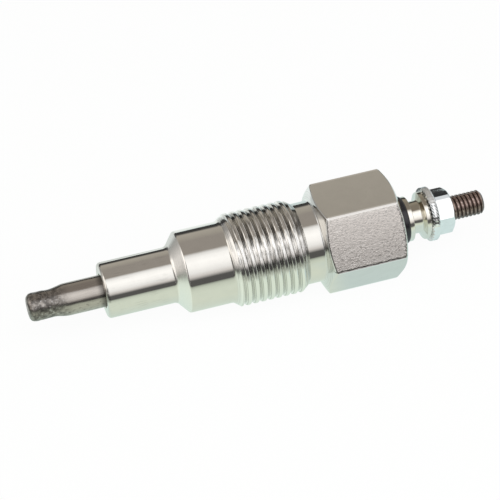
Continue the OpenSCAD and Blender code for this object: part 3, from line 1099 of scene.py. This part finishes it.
class GLOWPLUG_OT_collar(PlugOperator, bpy.types.Operator):
    """Turns the spool-shaped collar"""

    bl_idname = "glowplug.collar"
    bl_label = "Collar"

    def execute(self, context):
        s = self.plug.terminal
        colours = self.plug.colours
        bore = self.plug.rod.engaged_d / 2
        outline = [
            (COLLAR_X, bore, 0),
            (COLLAR_X, s.collar_inner_d / 2, s.collar_edge),
            (COLLAR_X + s.collar_inner_t, s.collar_inner_d / 2, s.collar_edge),
            (COLLAR_X + s.collar_inner_t, s.collar_waist_d / 2, s.collar_fillet),
            (NUT_X - s.collar_outer_t - s.collar_cone, s.collar_waist_d / 2, s.collar_cone_fillet),
            (NUT_X - s.collar_outer_t, s.collar_outer_d / 2, s.collar_edge),
            (NUT_X, s.collar_outer_d / 2, s.collar_edge),
            (NUT_X, bore, 0),
        ]
        bm = draw_outline(outline, closed=True)
        turn_outline(bm)
        finish = plated_finish("yellowish_nickel_plate", colours.collar, colours.collar_top_shade, 0.03)
        add_piece(bm, "spool_collar", "terminal_collar", finish)
        return {"FINISHED"}


class GLOWPLUG_OT_nut(PlugOperator, bpy.types.Operator):
    """Turns the nut with its flange, cuts its hexagon and its lock teeth"""

    bl_idname = "glowplug.nut"
    bl_label = "Flange nut"

    def execute(self, context):
        s = self.plug.terminal
        colours = self.plug.colours
        bore = self.plug.rod.engaged_d / 2
        rim = s.flange_d / 2
        tooth_root = s.tooth_root_d / 2
        sunk = s.countersink_d / 2
        corner = s.nut_af / math.sqrt(3)
        top = s.nut_top_d / 2
        cone = math.tan(s.flange_angle)
        slope = math.tan(s.nut_top_angle)
        flange_x = NUT_X + s.flange_t
        outline = [
            (NUT_X, bore, 0),
            (NUT_X, tooth_root, 0),
            (NUT_X, tooth_root + s.tooth_ramp, 0),
            (NUT_X, rim, s.flange_round),
            (flange_x, rim, s.flange_round),
            (flange_x + (rim - corner) * cone, corner, 0),
            (NUT_END_X - (corner - top) * slope, corner, 0),
            (NUT_END_X, top, 0),
            (NUT_END_X, sunk, s.countersink_edge),
            (NUT_END_X - (sunk - bore), bore, 0),
        ]
        bm = draw_outline(outline, closed=True)
        turn_outline(bm)
        cut_hexagon(
            bm,
            s.nut_af,
            lambda radius: flange_x + (rim - radius) * cone,
            lambda radius: NUT_END_X - (radius - top) * slope,
        )
        for vert in bm.verts:
            column = column_of(vert)
            if radius_of(vert) > tooth_root + s.tooth_ramp / 2 and column % TOOTH == 0:
                vert.co.x = max(vert.co.x, NUT_X + s.tooth_depth)
            behind = NUT_X + s.flange_t / 2 < vert.co.x
            if behind and radius_of(vert) > rim - s.flange_round and column % RIB == 0:
                place(vert, vert.co.x, radius_of(vert) - s.rib_depth, column)
        clear_of_flange = flange_x + mm(0.4)
        round_hexagon(bm, s.nut_af, clear_of_flange, NUT_END_X, s.nut_edge)
        turn = Matrix.Rotation(-s.nut_turn, 3, AXIS)
        bmesh.ops.rotate(bm, verts=bm.verts[:], cent=(0, 0, 0), matrix=turn)
        finish = plated_finish("bluish_zinc_plate", colours.zinc, colours.zinc_top_shade, 0.04, (rim, NUT_X))
        add_piece(bm, "serrated_nut", "flange_nut", finish)
        return {"FINISHED"}


class GLOWPLUG_OT_core(PlugOperator, bpy.types.Operator):
    """Gives the hidden CAD pieces their finishes: coil, magnesia and both seals"""

    bl_idname = "glowplug.core"
    bl_label = "Inner pieces"

    def execute(self, context):
        colours = self.plug.colours
        rubber = rubber_finish(colours)
        finishes = {
            "heating_coil": wire_finish(colours),
            "magnesia_fill": magnesia_finish(colours),
            "sheath_seal": rubber,
            "ring_seal": rubber,
        }
        for node, finish in finishes.items():
            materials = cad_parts[node].data.materials
            materials.clear()
            materials.append(finish)
        return {"FINISHED"}


class GLOWPLUG_OT_stage(PlugOperator, bpy.types.Operator):
    """Sets the floor, the cards, the light and the camera"""

    bl_idname = "glowplug.stage"
    bl_label = "Stage"

    def execute(self, context):
        s = self.plug.stage
        scene = context.scene
        scene.view_settings.view_transform = "Standard"
        self.lay_floor(s)
        self.hang_card(s)
        self.stand_end_card(s)
        self.light(scene, s)
        self.surround(scene)
        self.aim_camera(scene, s)
        return {"FINISHED"}

    def lay_floor(self, s):
        """Pale floor that keeps the shadow. The camera sees it near white, and the metal sees it fall off,
        with a painted shadow close under the plug.
        """
        f = new_finish("pale_floor")
        x, y = f.x, f.y
        stops = (
            (-140, s.horizon),
            (-100, shade(s.floor_front, 0.45)),
            (-55, shade(s.floor_front, 0.83)),
            (-25, s.floor_front),
            (-12, s.floor_front),
            # Painted contact shadow under the plug, seen only in reflections
            (0, s.floor_under_shadow),
            (12, s.floor_under_shadow),
            (40, s.floor_behind),
            (60, s.floor_behind),
        )
        hexagon = y.rise(mm(-40), mm(-15)) * x.rise(mm(28), mm(34))
        aside = x.rise(mm(12), mm(-4)) * y.rise(mm(8), mm(20))
        mouth = x.rise(mm(-14), mm(-18)) * y.rise(mm(4), mm(9)) * y.rise(mm(24), mm(18))
        far = x.rise(mm(-20), mm(-110))
        reflected = f.tint(
            f.ramp(y, [(mm(at), value) for at, value in stops]),
            (hexagon * 0.7, s.floor_hex),
            (aside * 0.8, s.floor_aside),
            (mouth * 0.8, (0.88, 0.9, 0.87)),
            (far * 0.7, (0.05, 0.045, 0.04)),
        )
        mirrored = f.ray("Glossy")
        seen = f.ray("Camera").top(f.ray("Transmission"))
        plain = f.node("BsdfDiffuse", None, {"Color": (*s.floor, 1)})
        lit = f.glow(f.tint((1, 1, 1), (mirrored, reflected)), 1.0)
        share = seen * 0.94 + mirrored
        mixed = f.node("MixShader", None, {0: share, 1: plain.outputs[0], 2: lit.outputs[0]})
        bm = bmesh.new()
        bmesh.ops.create_circle(bm, cap_ends=True, segments=96, radius=s.floor_radius)
        bmesh.ops.translate(bm, verts=bm.verts[:], vec=(s.lamp_x, 0, CAD_BOX[0].z))
        add_object(bm, "floor", f.end(mixed))

    def add_card(self, bm, name, material):
        """Adds a card that only the metal sees."""
        card = add_object(bm, name, material)
        card.visible_camera = False
        card.visible_shadow = False

    def hang_card(self, s):
        """Curved studio card over the plug's axis. Its light changes from the front over to the back."""
        f = new_finish("studio_card_paper")
        white = (1, 1, 1)
        low, high = -8, 184
        stops = (
            (low, s.horizon),
            (10.5, s.horizon),
            (20, (0.75, 0.725, 0.71)),
            (30, shade(white, 1.03)),
            (44, shade(white, 1.22)),
            (58, shade(white, s.softbox)),
            (70, shade(white, 1.2)),
            (79.3, shade(white, 0.95)),
            (86.3, s.ceiling),
            (126, s.ceiling),
            (138, s.rear_ceiling),
            (156.5, shade(s.rear_ceiling, 1.14)),
            (165, shade(s.horizon, 0.5)),
            (high, shade(s.horizon, 0.5)),
        )
        quarter = 0.5 * math.pi
        raised = f.math("ARCTAN2", f.z, 0 - f.y) + quarter
        turned = f.math("FLOORED_MODULO", raised, 2 * math.pi) - quarter
        light = f.ramp(turned, [(math.radians(at), shade(value, 1 / s.softbox)) for at, value in stops])
        tip_side, stud_side = -0.35, 0.6
        bm = bmesh.new()
        bm.edges.new([bm.verts.new((end, -s.card_radius, 0)) for end in (tip_side, stud_side)])
        start = Matrix.Rotation(math.radians(-low), 3, AXIS)
        bmesh.ops.rotate(bm, verts=bm.verts[:], cent=(0, 0, 0), matrix=start)
        spin(bm, math.radians(low - high), steps=96)
        self.add_card(bm, "studio_card", f.end(f.glow(light, s.softbox)))

    def stand_end_card(self, s):
        """Warm card beyond the heated tip, darker near the floor and towards both sides."""
        f = new_finish("end_card_paper")
        y, z = f.y, f.z
        brightest = 1.25
        stops = (
            (-0.01, 0.34),
            (0.002, 0.38),
            (0.015, 0.47),
            (0.045, 0.62),
            (0.065, 0.92),
            (0.1, 1.02),
            (0.26, brightest),
        )
        rear = y.rise(0.11, 0.2) * z.rise(0.04, 0.09) * 0.5 + y.rise(0.15, 0.4) * 0.35
        light = f.tint(
            f.ramp(z, [(at, shade(s.end_card, value / brightest)) for at, value in stops]),
            (rear, (0.16, 0.155, 0.145)),
            (y.rise(-0.16, -0.27) * 0.9, (0.06, 0.06, 0.058)),
        )
        bm = bmesh.new()
        upright = Matrix.Rotation(math.pi / 2, 3, "Y")
        bmesh.ops.create_grid(bm, x_segments=1, y_segments=1, size=0.6)
        bmesh.ops.rotate(bm, verts=bm.verts[:], cent=(0, 0, 0), matrix=upright)
        bmesh.ops.translate(bm, verts=bm.verts[:], vec=AXIS * -s.end_card_away)
        self.add_card(bm, "end_card", f.end(f.glow(light, brightest)))

    def light(self, scene, s):
        """One long softbox in front and above."""
        lamp = bpy.data.lights.new("softbox", "AREA")
        lamp.shape = "RECTANGLE"
        lamp.size = 1.5
        lamp.size_y = 0.82
        lamp.energy = s.lamp
        away = Vector((0, -math.cos(s.lamp_height), math.sin(s.lamp_height)))
        box = bpy.data.objects.new("softbox", lamp)
        scene.collection.objects.link(box)
        box.location = AXIS * s.lamp_x + away * s.lamp_away
        box.rotation_mode = "QUATERNION"
        box.rotation_quaternion = away.to_track_quat("Z", "Y")
        box.visible_camera = False
        box.visible_glossy = False

    def surround(self, scene):
        """White room: full white to the camera, less to the metal and least to everything else."""
        world = bpy.data.worlds.new("white_room")
        scene.world = world
        f = Finish(world)
        mirrored = f.ray("Glossy")
        seen = f.ray("Camera").top(mirrored).top(f.ray("Transmission"))
        strength = 0.55 + seen * 0.45 - mirrored * 0.28
        back = f.node("Background", None, {"Color": (1, 1, 1, 1), "Strength": strength})
        f.node("OutputWorld", None, {"Surface": back.outputs[0]})

    def aim_camera(self, scene, s):
        """Camera at the photograph's angle."""
        back = Vector((
            -math.sin(s.lean),
            -math.cos(s.lean) * math.cos(s.height),
            math.cos(s.lean) * math.sin(s.height),
        ))
        level = (-back).to_track_quat("-Z", "Y")
        turned = level @ Matrix.Rotation(-s.roll, 3, "Z").to_quaternion()
        right = turned @ Vector((1, 0, 0))
        up = turned @ Vector((0, 1, 0))
        data = bpy.data.cameras.new("photo_camera")
        data.sensor_width = 36
        data.lens = s.lens
        data.clip_start = 0.01
        camera = bpy.data.objects.new("photo_camera", data)
        scene.collection.objects.link(camera)
        camera.rotation_mode = "QUATERNION"
        camera.rotation_quaternion = turned
        camera.location = AXIS * s.target_x + right * s.aside + up * s.above + back * s.distance
        scene.camera = camera


OPERATORS = (
    GLOWPLUG_OT_body,
    GLOWPLUG_OT_sheath,
    GLOWPLUG_OT_electrode,
    GLOWPLUG_OT_bush,
    GLOWPLUG_OT_collar,
    GLOWPLUG_OT_nut,
    GLOWPLUG_OT_core,
    GLOWPLUG_OT_stage,
)


class GLOWPLUG_PT_panel(bpy.types.Panel):
    """Lists the glow plug's operators"""

    bl_idname = "GLOWPLUG_PT_panel"
    bl_label = "Glow plug"
    bl_space_type = "VIEW_3D"
    bl_region_type = "UI"
    bl_category = "Glow Plug"

    def draw(self, context):
        for operator in OPERATORS:
            self.layout.operator(operator.bl_idname)


CLASSES = (
    BodySizes,
    RodSizes,
    TerminalSizes,
    PlugColours,
    StageSettings,
    PlugSettings,
    *OPERATORS,
    GLOWPLUG_PT_panel,
)


def register():
    """Registers the classes and hangs the settings on the scene."""
    for cls in CLASSES:
        bpy.utils.register_class(cls)
    bpy.types.Scene.glow_plug = PointerProperty(type=PlugSettings)


def unregister():
    """Takes back what register did."""
    del bpy.types.Scene.glow_plug
    for cls in reversed(CLASSES):
        bpy.utils.unregister_class(cls)


def main():
    """Builds the plug on its stage."""
    register()
    bpy.ops.glowplug.body()
    bpy.ops.glowplug.sheath()
    bpy.ops.glowplug.electrode()
    bpy.ops.glowplug.bush()
    bpy.ops.glowplug.collar()
    bpy.ops.glowplug.nut()
    bpy.ops.glowplug.core()
    bpy.ops.glowplug.stage()


if __name__ == "__main__":
    main()
